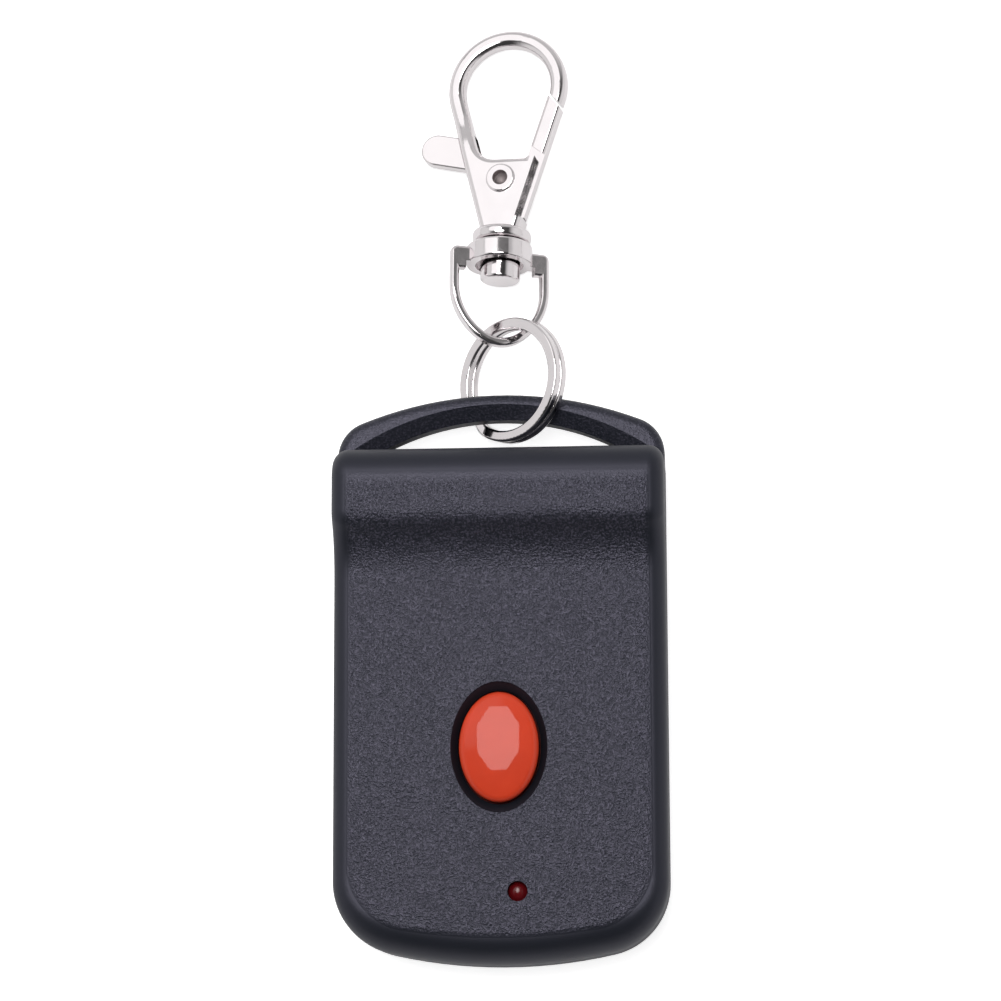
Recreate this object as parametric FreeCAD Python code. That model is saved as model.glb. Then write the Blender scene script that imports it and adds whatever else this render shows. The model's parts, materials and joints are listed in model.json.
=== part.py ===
import FreeCAD, Part
import math
import os

Vector = FreeCAD.Vector
ALONG_X = Vector(1, 0, 0)
ALONG_Y = Vector(0, 1, 0)
ALONG_Z = Vector(0, 0, 1)

# Garage door remote on a split ring and a swivel snap hook, in millimetres.
# It lies on its flat back. X is to the right, Y runs towards the handle and Z comes out of the front.
# The origin is the middle of the flat back face.

# Moulded case
case_width = 39.3
body_length = 60.8
split_height = 5.5
face_height = 11.4
hump_height = 14.6
wall = 1.5
back_floor = 1.6
bottom_arc_radius = 60.0
bottom_corner_radius = 8.5
side_rounding = 1.9
bottom_rounding = 3.6
back_rounding = 1.5
hump_length = 15.35
hump_slope_radius = 8.0
hump_crest_radius = 2.8
hump_end_rounding = 3.6
hump_end_draft = 5.0
back_end_draft = 3.0
inner_edge_rounding = 0.8

# Handle
handle_reach = 7.35
handle_arc_radius = 45.4
handle_corner_radius = 4.5
handle_bar = 3.1
handle_thickness = 4.0
handle_rounding = 1.2
slot_arc_radius = 30.2
slot_overlap = 1.0
slot_slope_width = 1.8
slot_slope_depth = 1.0

# Lip of the back shell inside the front shell
lip_thickness = 0.8
lip_height = 0.9
lip_root = 1.1
lip_gap = 0.1

# Button and its dish
button_y = -5.2
button_width = 9.35
button_length = 12.95
button_top = 12.6
button_dome_radius = 22.0
button_rim_rounding = 0.9
button_gap = 0.2
button_wall = 1.2
button_roof = 1.3
flange_reach = 1.1
flange_thickness = 0.8
button_travel = 0.3
post_radius = 1.5
dish_width = 11.3
dish_length = 15.3
dish_depth = 0.9
dish_ring_width = 1.9
dish_ring_bottom = 9.3

# Indicator lamp
lamp_x = 2.1
lamp_from_bottom = 8.4
lamp_hole_radius = 1.18
lamp_hole_depth = 1.0
lamp_radius = 1.5
lamp_tip = 10.9
lamp_clearance = 0.2
lamp_flange_radius = 1.9
lamp_flange_thickness = 0.8
lamp_lift = 0.3
lead_spacing = 2.54
lead_side = 0.45
lead_stub = 0.8

# Circuit board
board_bottom = 4.9
board_thickness = 1.2
board_inset = 2.7
board_battery_gap = 0.65
board_hole_clearance = 0.1
trace_width = 1.2
trace_thickness = 0.1
trace_margin = 1.0
trace_end_y = -1.0

# Screws
lower_screw_from_side = 7.4
lower_screw_from_bottom = 8.8
upper_screw_from_side = 5.3
upper_screw_from_battery = 10.15
screw_radius = 1.0
screw_head_radius = 1.8
screw_head_height = 1.1
screw_head_recess = 0.2
screw_reach = 9.2
screw_fit = 0.03
screw_clearance = 0.15
screw_point = 1.0
cross_width = 0.4
cross_depth = 0.6
boss_wall = 1.2
pilot_end_gap = 0.3

# Battery, its cradle and its contacts
battery_radius = 5.1
battery_length = 28.5
battery_nub_radius = 2.0
battery_nub_length = 0.7
battery_wall_gap = 0.45
battery_floor_gap = 0.35
battery_edge_rounding = 0.5
cradle_x = 8.0
cradle_thickness = 1.2
cradle_height = 4.0
cradle_gap = 0.1
contact_wall_gap = 0.9
contact_thickness = 0.35
contact_width = 7.4
contact_height = 7.0
contact_arm_height = 2.0
contact_foot_length = 3.0
contact_foot_width = 1.8
spring_wire = 0.5
spring_end_gap = 0.02
spring_large_radius = 3.3
spring_small_radius = 1.7
spring_turns = 3

# Push switch under the button
switch_side = 6.0
switch_base_height = 1.8
switch_cover_thickness = 0.2
switch_well_radius = 2.6
switch_well_floor = 0.6
switch_plunger_radius = 1.65
switch_plunger_gap = 0.1
switch_dome_radius = 2.1
switch_dome_thickness = 0.12
switch_dome_rise = 0.35
switch_lead_width = 0.7
switch_lead_reach = 1.0
switch_lead_thickness = 0.2
plunger_dome_gap = 0.02
plunger_foot_gap = 0.05
plunger_foot_height = 0.5
plunger_foot_clearance = 0.2

# Code switch on the back of the board
code_levers = 10
code_pitch = 2.54
code_y = 2.2
code_width = 6.8
code_height = 3.0
code_margin = 0.9
code_slot_width = 1.3
code_slot_length = 3.0
code_slot_depth = 1.1
code_lever_width = 1.1
code_lever_length = 1.9
code_lever_proud = 0.15
code_lever_gap = 0.05
code_lead_width = 0.6
code_lead_thickness = 0.25
code_lead_reach = 1.1
code_lead_rise = 1.2

# Parts on the front of the board
chip_x = -9.2
chip_from_screw = 7.8
chip_width = 7.5
chip_length = 11.5
chip_height = 1.8
chip_lift = 0.15
chip_leads = 9
chip_lead_pitch = 1.27
chip_lead_width = 0.45
chip_lead_reach = 1.4
chip_lead_thickness = 0.25
chip_dot_inset = 1.2
chip_dot_depth = 0.15
chip_dot_radius = 0.5
can_x = 8.4
can_from_screw = 5.0
can_length = 9.0
can_width = 4.4
can_height = 3.0
can_rounding = 1.2
can_brim = 0.5
can_brim_height = 0.4
coil_x = 9.6
coil_y = -13.0
coil_radius = 1.25
coil_wire = 0.6
coil_turns = 3
coil_pitch = 0.9
coil_lift = 0.1
transistor_x = -9.5
transistor_y = -14.0
transistor_length = 2.9
transistor_width = 1.5
transistor_height = 1.1
transistor_lift = 0.1
transistor_leg_pitch = 0.95
transistor_leg_width = 0.4
transistor_leg_reach = 0.6
transistor_leg_thickness = 0.3
part_length = 2.0
part_width = 1.25
part_height = 0.6
part_places = [(-6.2, -12.0), (-6.2, -15.0), (-8.8, -17.4), (5.6, -9.6), (8.4, -17.4), (8.6, -6.4)]
edge_part_inset = 7.25
edge_part_places = [(1, -3.6), (1, 1.2), (-1, -9.6)]
end_part_x = 4.0
end_part_inset = 4.2

# Split ring
ring_outer_radius = 7.6
ring_inner_radius = 6.25
ring_turn_height = 1.05
ring_turn_gap = 0.05
ring_wire_rounding = 0.3
ring_x = 1.4
ring_from_slot = 5.0
ring_z = 5.85
ring_slant = 36.0
ring_crossing_angle = 226.0
ring_crossing_span = 36.0
ring_end_gap = 5.0

# Swivel loop
hub_x = -0.25
hub_y = 55.46
hub_z = 4.2
loop_tilt = 7.5
loop_roll = 20.0
hub_radius = 4.03
hub_height = 2.4
hub_rounding = 0.25
hub_hole_clearance = 0.4
head_pocket_clearance = 0.55
head_pocket_depth = 0.8
loop_half_width = 6.2
loop_strap = 1.05
loop_thickness = 1.45
loop_rounding = 0.4
loop_shoulder_top = 0.75
loop_shoulder_bottom = 2.1
loop_shoulder_width = 0.8
loop_corner_rounding = 0.8
loop_drop = 11.65
loop_bottom_radius = 4.6
loop_side_radius = 8.0

# Snap hook. Its heights are measured from the middle of the hub, along the swivel stem.
hook_x = -0.05
hook_lean = 2.3
hook_tilt = 4.5
hook_roll = 10.0
stem_radius = 1.35
head_radius = 2.4
head_bottom = 3.2
head_height = 2.45
head_rounding = 0.35
collar_radius = 3.6
collar_bottom = 1.65
collar_top = 3.2
collar_rounding = 0.6
hook_base_half = 2.45
bow_radius = 7.5
bow_centre = 21.8
bow_section = 2.1
bow_thickness = 2.2
body_thickness = 4.0
body_taper_start = 12.9
body_taper_end = 18.6
hook_rounding = 0.85
opening_bottom = 12.2
opening_corner_radius = 2.4
nose_inner_height = 21.2
nose_outer_height = 18.7
nose_overlap = 0.4
nose_reach = 4.0
gate_tip_gap = 0.3
gate_room_depth = 2.5
plate_inset = 0.85
cavity_thickness = 1.7
cavity_floor = 4.5
cavity_wall = 1.7
cavity_clearance = 0.5
cavity_roof_overlap = 1.0
tab_room = 3.0
tab_root_low = 5.5
tab_root_high = 4.5
tool_margin = 3.0

# Gate lever, its rivet and its spring
rivet_height = 9.5
rivet_radius = 1.25
rivet_flange_radius = 1.8
rivet_flange_thickness = 0.3
rivet_bore = 0.95
rivet_fit = 0.03
lever_pivot_clearance = 0.06
lever_thickness = 1.5
lever_edge_rounding = 0.25
gate_thickness = 2.1
gate_rounding = 0.5
gate_root_height = 13.3
gate_root_drop = 0.6
gate_root_rise = 0.7
gate_step = 0.8
lever_hub_radius = 2.5
lever_roof_gap = 0.3
lever_heel_gap = 0.15
lever_heel_width = 1.3
lever_shoulder = [(-2.6, 0.0), (-3.6, 0.5)]
lever_belly = [(-1.6, -2.0), (0.9, -2.6)]
tab_end_u = -8.6
tab_end_v = 14.0
tab_radius = 2.0
tab_slope = 11.5
tab_top_length = 4.2
tab_low_length = 5.6
gate_opening = 25.0
spring_pocket_radius = 2.25
spring_pocket_depth = 1.1
gate_spring_wire = 0.28
gate_spring_radius = 1.75
gate_spring_turns = 2
gate_spring_pitch = 0.3
gate_spring_leg = 3.35
gate_spring_start = -60.0
gate_spring_sweep = (-92.0, -140.0)

# Worked out from the sizes above
half_width = case_width / 2
body_top = body_length / 2
body_bottom = -body_length / 2
bottom_arc_y = body_bottom + bottom_arc_radius
handle_end = body_top + handle_reach
handle_arc_y = handle_end - handle_arc_radius
slot_top = handle_end - handle_bar
handle_low = split_height - handle_thickness / 2
handle_high = split_height + handle_thickness / 2
far = 2 * body_length
hump_slope_start = body_top - hump_length
board_top = board_bottom + board_thickness
ceiling = face_height - wall
switch_cover_top = board_top + switch_base_height + switch_cover_thickness
flange_bottom = dish_ring_bottom - flange_thickness
battery_y = body_top - wall - battery_wall_gap - battery_radius
battery_z = back_floor + battery_floor_gap + battery_radius
board_end_y = battery_y - battery_radius - board_battery_gap
contact_face_x = half_width - wall - contact_wall_gap - contact_thickness
battery_x = contact_face_x - battery_length / 2
spring_gap_length = 2 * contact_face_x - battery_length
lower_screw_x = half_width - lower_screw_from_side
lower_screw_y = body_bottom + lower_screw_from_bottom
upper_screw_x = half_width - upper_screw_from_side
upper_screw_y = battery_y - upper_screw_from_battery
chip_y = upper_screw_y - chip_from_screw
can_y = upper_screw_y - can_from_screw
lamp_y = body_bottom + lamp_from_bottom
lamp_centre_z = lamp_tip - lamp_radius
ring_y = slot_top + ring_from_slot


# Shape helpers


def box(x_low, x_high, y_low, y_high, z_low, z_high):
    corner = Vector(x_low, y_low, z_low)
    return Part.makeBox(x_high - x_low, y_high - y_low, z_high - z_low, corner)


def round_bar(radius, start, end):
    return Part.makeCylinder(radius, (end - start).Length, start, end - start)


def tube(x, y, z_low, z_high, radius):
    return Part.makeCylinder(radius, z_high - z_low, Vector(x, y, z_low))


def arc_edge(start, middle, end):
    return Part.Arc(start, middle, end).toShape()


def on_circle(centre, radius, angle, z=0.0):
    return Vector(centre[0] + radius * math.cos(angle), centre[1] + radius * math.sin(angle), z)


def circle_arc(centre, radius, start_angle, end_angle, z=0.0):
    points = [on_circle(centre, radius, a, z) for a in
              (start_angle, (start_angle + end_angle) / 2, end_angle)]
    return arc_edge(*points)


def polygon_prism(points, low, high):
    corners = [Vector(x, y, low) for x, y in points]
    wire = Part.makePolygon(corners + corners[:1])
    return Part.Face(wire).extrude(Vector(0, 0, high - low))


def prism(edges, height):
    return Part.Face(Part.Wire(edges)).extrude(Vector(0, 0, height))


def oval(x, y, width, length, z):
    if length >= width:
        ellipse = Part.Ellipse(Vector(x, y + length / 2, z), Vector(x + width / 2, y, z), Vector(x, y, z))
    else:
        ellipse = Part.Ellipse(Vector(x + width / 2, y, z), Vector(x, y + length / 2, z), Vector(x, y, z))
    return Part.Wire([ellipse.toShape()])


def oval_prism(x, y, width, length, z_low, z_high):
    return Part.Face(oval(x, y, width, length, z_low)).extrude(Vector(0, 0, z_high - z_low))


def fuse_all(shapes):
    result = shapes[0]
    for shape in shapes[1:]:
        result = result.fuse(shape)
    return result.removeSplitter()


def cut_all(base, tools):
    for tool in tools:
        base = base.cut(tool)
    return base


def single(shape):
    return shape.Solids[0] if len(shape.Solids) == 1 else shape


def middle_normal(face):
    u_low, u_high, v_low, v_high = face.ParameterRange
    return face.normalAt((u_low + u_high) / 2, (v_low + v_high) / 2)


def rounded(shape, radius, wanted):
    edges = [e for e in shape.Edges if wanted(e)]
    return single(shape.makeFillet(radius, edges))


def level_edge(edge, z, tolerance=0.001):
    box_of_edge = edge.BoundBox
    return abs(box_of_edge.ZMin - z) < tolerance and abs(box_of_edge.ZMax - z) < tolerance


# Moulded case


def case_plan(inset, low, high, end_y):
    # straight sides, a wide arc across the bottom and rounded lower corners
    half = half_width - inset
    radius = bottom_arc_radius - inset
    corner_y = bottom_arc_y - math.sqrt(radius ** 2 - half ** 2)
    left = Vector(-half, corner_y, low)
    right = Vector(half, corner_y, low)
    right_end = Vector(half, end_y, low)
    left_end = Vector(-half, end_y, low)
    lowest = Vector(0, bottom_arc_y - radius, low)
    edges = [arc_edge(left, lowest, right), Part.makeLine(right, right_end),
             Part.makeLine(right_end, left_end), Part.makeLine(left_end, left)]
    solid = prism(edges, high - low)

    def lower_corner(edge):
        upright = abs(edge.tangentAt(edge.FirstParameter).z) > 0.9
        return upright and edge.CenterOfMass.y < 0

    return rounded(solid, bottom_corner_radius - inset, lower_corner)


def side_arc(centre_y, centre_z, radius, start_angle, end_angle):
    points = [Vector(0, centre_y + radius * math.cos(a), centre_z + radius * math.sin(a)) for a in
              (start_angle, (start_angle + end_angle) / 2, end_angle)]
    return arc_edge(*points), points[0], points[2]


def front_side_profile(inset, low):
    # seen from the side: flat face, hollow slope, crest of the hump and its drafted end
    rise = hump_height - face_height
    reach = hump_slope_radius + hump_crest_radius
    slope_z = face_height + hump_slope_radius
    crest_y = hump_slope_start + math.sqrt(2 * reach * rise - rise ** 2)
    crest_z = hump_height - hump_crest_radius
    lean = math.atan2(slope_z - crest_z, hump_slope_start - crest_y)
    draft = math.radians(hump_end_draft)
    slope, slope_foot, slope_head = side_arc(
        hump_slope_start, slope_z, hump_slope_radius + inset, -math.pi / 2, lean - math.pi)
    crest, crest_foot, crest_head = side_arc(
        crest_y, crest_z, hump_crest_radius - inset, lean, math.pi / 2)
    end, end_head, end_foot = side_arc(
        body_top - hump_end_rounding, hump_height - hump_end_rounding,
        hump_end_rounding - inset, math.pi / 2, draft)
    drop = (end_foot.z - low) / math.cos(draft)
    base = end_foot + Vector(0, math.sin(draft), -math.cos(draft)) * drop
    outside_low = Vector(0, -far, low)
    outside_high = Vector(0, -far, face_height - inset)
    edges = [Part.makeLine(outside_low, outside_high), Part.makeLine(outside_high, slope_foot),
             slope, crest, Part.makeLine(crest_head, end_head), end,
             Part.makeLine(end_foot, base), Part.makeLine(base, outside_low)]
    solid = Part.Face(Part.Wire(edges)).extrude(Vector(2 * far, 0, 0))
    solid.translate(Vector(-far, 0, 0))
    return solid


def end_wall_y(inset, z):
    draft = math.radians(hump_end_draft)
    foot_y = body_top - hump_end_rounding + (hump_end_rounding - inset) * math.cos(draft)
    foot_z = hump_height - hump_end_rounding + (hump_end_rounding - inset) * math.sin(draft)
    return foot_y + (foot_z - z) * math.tan(draft)


def front_block(inset, low):
    return single(case_plan(inset, low, hump_height + wall, far).common(front_side_profile(inset, low)))


def rounded_cavity(inset, low):
    def inner_edge(edge):
        return edge.BoundBox.ZMin > split_height + 1 and not upright_edge(edge)

    return rounded(front_block(inset, low), inner_edge_rounding, inner_edge)


def roll_edges(block):
    # the edges where the walls meet the face, the hump and its end, by the wall they bound
    sides, bottom = [], []
    for number, edge in enumerate(block.Edges, start=1):
        faces = block.ancestorsOfType(edge, Part.Face)
        walls = [f for f in faces if abs(middle_normal(f).z) < 0.01]
        tops = [f for f in faces if abs(middle_normal(f).x) < 0.01 and middle_normal(f).z > 0.01]
        if walls and tops:
            surface = walls[0].Surface
            if surface.TypeId == "Part::GeomPlane":
                sides.append(number)
            elif abs(surface.Radius - bottom_arc_radius) < 0.1:
                bottom.append(number)
    return sides, bottom


def rolled_block():
    # the rounding grows from the sides to the bottom through the lower corners
    block = front_block(0, split_height)
    sides, bottom = roll_edges(block)
    document = FreeCAD.newDocument("front")
    base = document.addObject("Part::Feature", "block")
    base.Shape = block
    rolled = document.addObject("Part::Fillet", "rolled")
    rolled.Base = base
    rolled.Edges = ([(n, side_rounding, side_rounding) for n in sides]
                    + [(n, bottom_rounding, bottom_rounding) for n in bottom])
    document.recompute()
    shape = rolled.Shape.copy()
    FreeCAD.closeDocument(document.Name)
    return single(shape)


def handle_plan(inset, low, high):
    # sides that run on from the case, rounded corners and a wide arc over the top
    half = half_width - inset
    radius = handle_arc_radius - inset
    start_y = body_top - hump_end_rounding
    corner_y = handle_arc_y + math.sqrt(radius ** 2 - half ** 2)
    left = Vector(-half, start_y, low)
    right = Vector(half, start_y, low)
    right_corner = Vector(half, corner_y, low)
    left_corner = Vector(-half, corner_y, low)
    top = Vector(0, handle_arc_y + radius, low)
    edges = [Part.makeLine(left, right), Part.makeLine(right, right_corner),
             arc_edge(right_corner, top, left_corner), Part.makeLine(left_corner, left)]
    solid = prism(edges, high - low)

    def upper_corner(edge):
        upright = abs(edge.tangentAt(edge.FirstParameter).z) > 0.9
        return upright and edge.CenterOfMass.y > start_y + 1

    return rounded(solid, handle_corner_radius - inset, upper_corner)


def slot_outline(grow, z):
    # a segment of a circle; its straight side lies inside the end wall of the case
    radius = slot_arc_radius + grow
    centre_y = slot_top - slot_arc_radius
    start_y = body_top - slot_overlap
    half = math.sqrt(radius ** 2 - (start_y - centre_y) ** 2)
    left = Vector(-half, start_y, z)
    right = Vector(half, start_y, z)
    top = Vector(0, centre_y + radius, z)
    return Part.Wire([Part.makeLine(left, right), arc_edge(right, top, left)])


def slot_tool(outer_z, inner_z):
    # the slot and the slope that leads into it from the outer face of one handle half
    sign = 1 if outer_z > inner_z else -1
    low, high = sorted((outer_z + sign, inner_z - sign))
    straight = Part.Face(slot_outline(0, low)).extrude(Vector(0, 0, high - low))
    narrow = slot_outline(0, outer_z - sign * slot_slope_depth)
    wide = slot_outline(slot_slope_width, outer_z)
    return straight.fuse(Part.makeLoft([narrow, wide], True, True))


def handle_half(outer_z):
    low, high = sorted((outer_z, split_height))
    solid = handle_plan(0, low, high)

    def outer_edge(edge):
        on_face = level_edge(edge, outer_z)
        return on_face and edge.BoundBox.YMax > body_top - hump_end_rounding + 0.01

    return rounded(solid, handle_rounding, outer_edge).cut(slot_tool(outer_z, split_height))


def screw_places():
    places = []
    for side in (-1, 1):
        places.append((side * lower_screw_x, lower_screw_y))
        places.append((side * upper_screw_x, upper_screw_y))
    return places


def make_front_shell():
    outer = fuse_all([rolled_block(), handle_half(handle_high)])
    shell = outer.cut(rounded_cavity(wall, split_height - 1))
    ring_width = button_width + 2 * (button_gap + dish_ring_width)
    ring_length = button_length + 2 * (button_gap + dish_ring_width)
    added = [oval_prism(0, button_y, ring_width, ring_length, dish_ring_bottom, ceiling + wall / 2)]
    for x, y in screw_places():
        added.append(tube(x, y, board_top, ceiling + wall / 2, screw_radius + boss_wall))
    lamp_sleeve = lamp_radius + lamp_clearance + boss_wall / 2
    added.append(tube(lamp_x, lamp_y, ceiling - wall / 2, ceiling + wall / 2, lamp_sleeve))
    shell = fuse_all([shell] + added)
    floor_width = button_width + 2 * button_gap
    floor_length = button_length + 2 * button_gap
    dish = Part.makeLoft([oval(0, button_y, floor_width, floor_length, face_height - dish_depth),
                          oval(0, button_y, dish_width, dish_length, face_height)], True, True)
    dish_mouth = oval_prism(0, button_y, dish_width, dish_length, face_height, face_height + 1)
    opening = oval_prism(0, button_y, floor_width, floor_length, split_height, face_height)
    pocket_top = face_height - lamp_hole_depth
    holes = [dish, dish_mouth, opening,
             tube(lamp_x, lamp_y, split_height, face_height + 1, lamp_hole_radius),
             tube(lamp_x, lamp_y, split_height, pocket_top, lamp_radius + lamp_clearance)]
    for x, y in screw_places():
        holes.append(tube(x, y, split_height, screw_reach + pilot_end_gap, screw_radius + screw_fit))
    return single(cut_all(shell, holes))


def upright_edge(edge):
    return abs(edge.tangentAt((edge.FirstParameter + edge.LastParameter) / 2).z) > 0.9


def back_block(inset):
    # the lower half of the case; its end leans in a little towards the back
    end_high = end_wall_y(inset, split_height)
    end_low = end_high - split_height * math.tan(math.radians(back_end_draft))
    plan = case_plan(inset, 0, split_height, far)
    points = [(-far, 0), (end_low, 0), (end_high, split_height), (-far, split_height)]
    corners = [Vector(-far, y, z) for y, z in points]
    side = Part.Face(Part.makePolygon(corners + corners[:1])).extrude(Vector(2 * far, 0, 0))
    return single(plan.common(side))


def make_back_shell():
    block = back_block(0)

    def end_corner(edge):
        across = abs(edge.tangentAt(edge.FirstParameter).x)
        return edge.CenterOfMass.y > body_top / 2 and edge.BoundBox.ZLength > 1 and across < 0.1

    block = rounded(block, side_rounding, end_corner)
    block = rounded(block, back_rounding, lambda edge: level_edge(edge, 0))
    outer = fuse_all([block, handle_half(handle_low)])
    cavity = back_block(wall).cut(box(-far, far, -far, far, -1, back_floor))
    shell = outer.cut(cavity)
    root = back_block(wall).cut(back_block(wall + lip_thickness))
    root = root.cut(box(-far, far, -far, far, -1, split_height - lip_root))
    lip = rounded_cavity(wall + lip_gap, split_height).cut(front_block(wall + lip_thickness, split_height))
    lip = lip.cut(box(-far, far, -far, far, split_height + lip_height, hump_height + 1))
    added = [root, lip]
    for x, y in screw_places():
        added.append(tube(x, y, back_floor - 0.5, board_bottom, screw_head_radius + boss_wall / 2))
    for side in (-1, 1):
        middle = side * cradle_x
        end_y = end_wall_y(wall, split_height) - wall / 2
        start_y = battery_y - battery_radius
        added.append(box(middle - cradle_thickness / 2, middle + cradle_thickness / 2,
                         start_y, end_y, back_floor - 0.5, cradle_height))
    shell = fuse_all([shell] + added)
    battery_room = battery_radius + cradle_gap
    holes = [round_bar(battery_room, Vector(-half_width + 2 * wall, battery_y, battery_z),
                       Vector(half_width - 2 * wall, battery_y, battery_z))]
    for x, y in screw_places():
        holes.append(tube(x, y, -1, screw_head_recess + screw_head_height,
                          screw_head_radius + screw_clearance))
        holes.append(tube(x, y, -1, board_top, screw_radius + screw_clearance))
    return single(cut_all(shell, holes))


def make_screw(x, y):
    head_top = screw_head_recess + screw_head_height
    head = tube(x, y, screw_head_recess, head_top, screw_head_radius)
    head = rounded(head, screw_head_height / 3, lambda edge: level_edge(edge, screw_head_recess))
    shank_top = screw_reach - screw_point
    shank = tube(x, y, head_top, shank_top, screw_radius)
    point = Part.makeCone(screw_radius, screw_radius / 4, screw_point, Vector(x, y, shank_top))
    screw = fuse_all([head, shank, point])
    arm = screw_head_radius * 0.6
    cross_top = screw_head_recess + cross_depth
    half = cross_width / 2
    slots = [box(x - arm, x + arm, y - half, y + half, -1, cross_top),
             box(x - half, x + half, y - arm, y + arm, -1, cross_top)]
    return single(cut_all(screw, slots))


def make_button_cap():
    # a domed oval cap with a flange, hollow below, with a post that meets the switch
    centre = Vector(0, button_y, button_top - button_dome_radius)
    body = oval_prism(0, button_y, button_width, button_length, flange_bottom, button_top + 1)
    body = body.common(Part.makeSphere(button_dome_radius, centre))

    def dome_edge(edge):
        return edge.BoundBox.ZMin > dish_ring_bottom

    body = rounded(single(body), button_rim_rounding, dome_edge)
    flange = oval_prism(0, button_y, button_width + 2 * flange_reach, button_length + 2 * flange_reach,
                        flange_bottom, dish_ring_bottom)
    cap = fuse_all([body, flange])
    hollow = oval_prism(0, button_y, button_width - 2 * button_wall, button_length - 2 * button_wall,
                        flange_bottom - 1, button_top - button_roof - button_rim_rounding / 2)
    post = tube(0, button_y, switch_plunger_top(), button_top - button_roof, post_radius)
    return single(fuse_all([cap.cut(hollow), post]))


# Inside the case


def switch_plunger_top():
    return flange_bottom


def make_board():
    plan = case_plan(board_inset, board_bottom, board_top, board_end_y)
    holes = []
    for x, y in screw_places():
        holes.append(tube(x, y, board_bottom - 1, board_top + 1, screw_radius + screw_clearance))
    for side in (-1, 1):
        lead_x = lamp_x + side * lead_spacing / 2
        holes.append(tube(lead_x, lamp_y, board_bottom - 1, board_top + 1,
                          lead_side * math.sqrt(0.5) + board_hole_clearance))
    return single(cut_all(plan, holes))


def make_antenna():
    # a printed loop that follows the edge of the board round its lower half
    outer_inset = board_inset + trace_margin
    outer = case_plan(outer_inset, board_top, board_top + trace_thickness, trace_end_y)
    inner = case_plan(outer_inset + trace_width, board_top - 1, board_top + 1, far)
    trace = outer.cut(inner)
    cuts = [tube(x, y, board_top - 1, board_top + 1, screw_radius + boss_wall + board_hole_clearance)
            for x, y in screw_places()]
    return single(cut_all(trace, cuts))


def make_lamp():
    body_low = board_top + lamp_lift
    body = tube(lamp_x, lamp_y, body_low, lamp_centre_z, lamp_radius)
    flange = tube(lamp_x, lamp_y, body_low, body_low + lamp_flange_thickness, lamp_flange_radius)
    tip = Part.makeSphere(lamp_radius, Vector(lamp_x, lamp_y, lamp_centre_z))
    lamp = fuse_all([body, flange, tip])
    flat_x = lamp_x - lamp_radius
    return single(lamp.cut(box(flat_x - 1, flat_x, lamp_y - 3, lamp_y + 3, body_low - 1, lamp_centre_z)))


def make_lamp_leads():
    leads = []
    for side in (-1, 1):
        x = lamp_x + side * lead_spacing / 2
        half = lead_side / 2
        leads.append(box(x - half, x + half, lamp_y - half, lamp_y + half,
                         board_bottom - lead_stub, board_top + lamp_lift))
    return Part.makeCompound(leads)


def make_battery():
    can_end = battery_x + battery_length / 2 - battery_nub_length
    start = Vector(battery_x - battery_length / 2, battery_y, battery_z)
    end = Vector(can_end, battery_y, battery_z)
    can = round_bar(battery_radius, start, end)
    can = can.makeFillet(battery_edge_rounding, [e for e in can.Edges if e.BoundBox.XLength < 0.01])
    nub = round_bar(battery_nub_radius, end - Vector(battery_edge_rounding, 0, 0),
                    end + Vector(battery_nub_length, 0, 0))
    return fuse_all([can, nub])


def make_contact(side, inner_x):
    # an upright plate with an arm to the board and a foot soldered on it
    outer_x = inner_x + side * contact_thickness
    low_x, high_x = sorted((inner_x, outer_x))
    half_y = contact_width / 2
    half_z = contact_height / 2
    foot_y = board_end_y - contact_foot_width
    foot_low, foot_high = sorted((outer_x, inner_x - side * contact_foot_length))
    plate = box(low_x, high_x, battery_y - half_y, battery_y + half_y,
                battery_z - half_z, battery_z + half_z)
    arm = box(low_x, high_x, foot_y, battery_y - half_y + 1, board_top, board_top + contact_arm_height)
    foot = box(foot_low, foot_high, foot_y, board_end_y, board_top, board_top + contact_thickness)
    return single(fuse_all([plate, arm, foot]))


def make_battery_spring():
    # a cone of wire between the plate and the flat end of the battery
    end_x = battery_x - battery_length / 2
    height = spring_gap_length - spring_wire - 2 * spring_end_gap
    steps = 12 * spring_turns
    points = []
    for step in range(steps + 1):
        share = step / steps
        angle = 2 * math.pi * spring_turns * share
        radius = spring_small_radius + (spring_large_radius - spring_small_radius) * share
        x = end_x - spring_wire / 2 - spring_end_gap - height * share
        y = battery_y + radius * math.cos(angle)
        z = battery_z + radius * math.sin(angle)
        points.append(Vector(x, y, z))
    curve = Part.BSplineCurve()
    curve.interpolate(points)
    start, direction = curve.value(curve.FirstParameter), curve.tangent(curve.FirstParameter)[0]
    circle = Part.Wire([Part.makeCircle(spring_wire / 2, start, direction)])
    return single(Part.Wire([curve.toShape()]).makePipeShell([circle], True, True))


def make_switch_base():
    half = switch_side / 2
    top = board_top + switch_base_height
    base = box(-half, half, button_y - half, button_y + half, board_top, top)
    well = tube(0, button_y, board_top + switch_well_floor, top + 1, switch_well_radius)
    return base.cut(well)


def make_switch_cover():
    half = switch_side / 2
    low = board_top + switch_base_height
    cover = box(-half, half, button_y - half, button_y + half, low, low + switch_cover_thickness)
    return cover.cut(tube(0, button_y, low - 1, low + 1, switch_plunger_radius + switch_plunger_gap))


def make_switch_leads():
    leads = []
    half = switch_side / 2
    for side in (-1, 1):
        for row in (-1, 1):
            x_low, x_high = sorted((side * half, side * (half + switch_lead_reach)))
            y = button_y + row * (half - switch_lead_width)
            leads.append(box(x_low, x_high, y - switch_lead_width / 2, y + switch_lead_width / 2,
                             board_top, board_top + switch_lead_thickness))
    return Part.makeCompound(leads)


def switch_dome_low():
    return board_top + switch_well_floor


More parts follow.
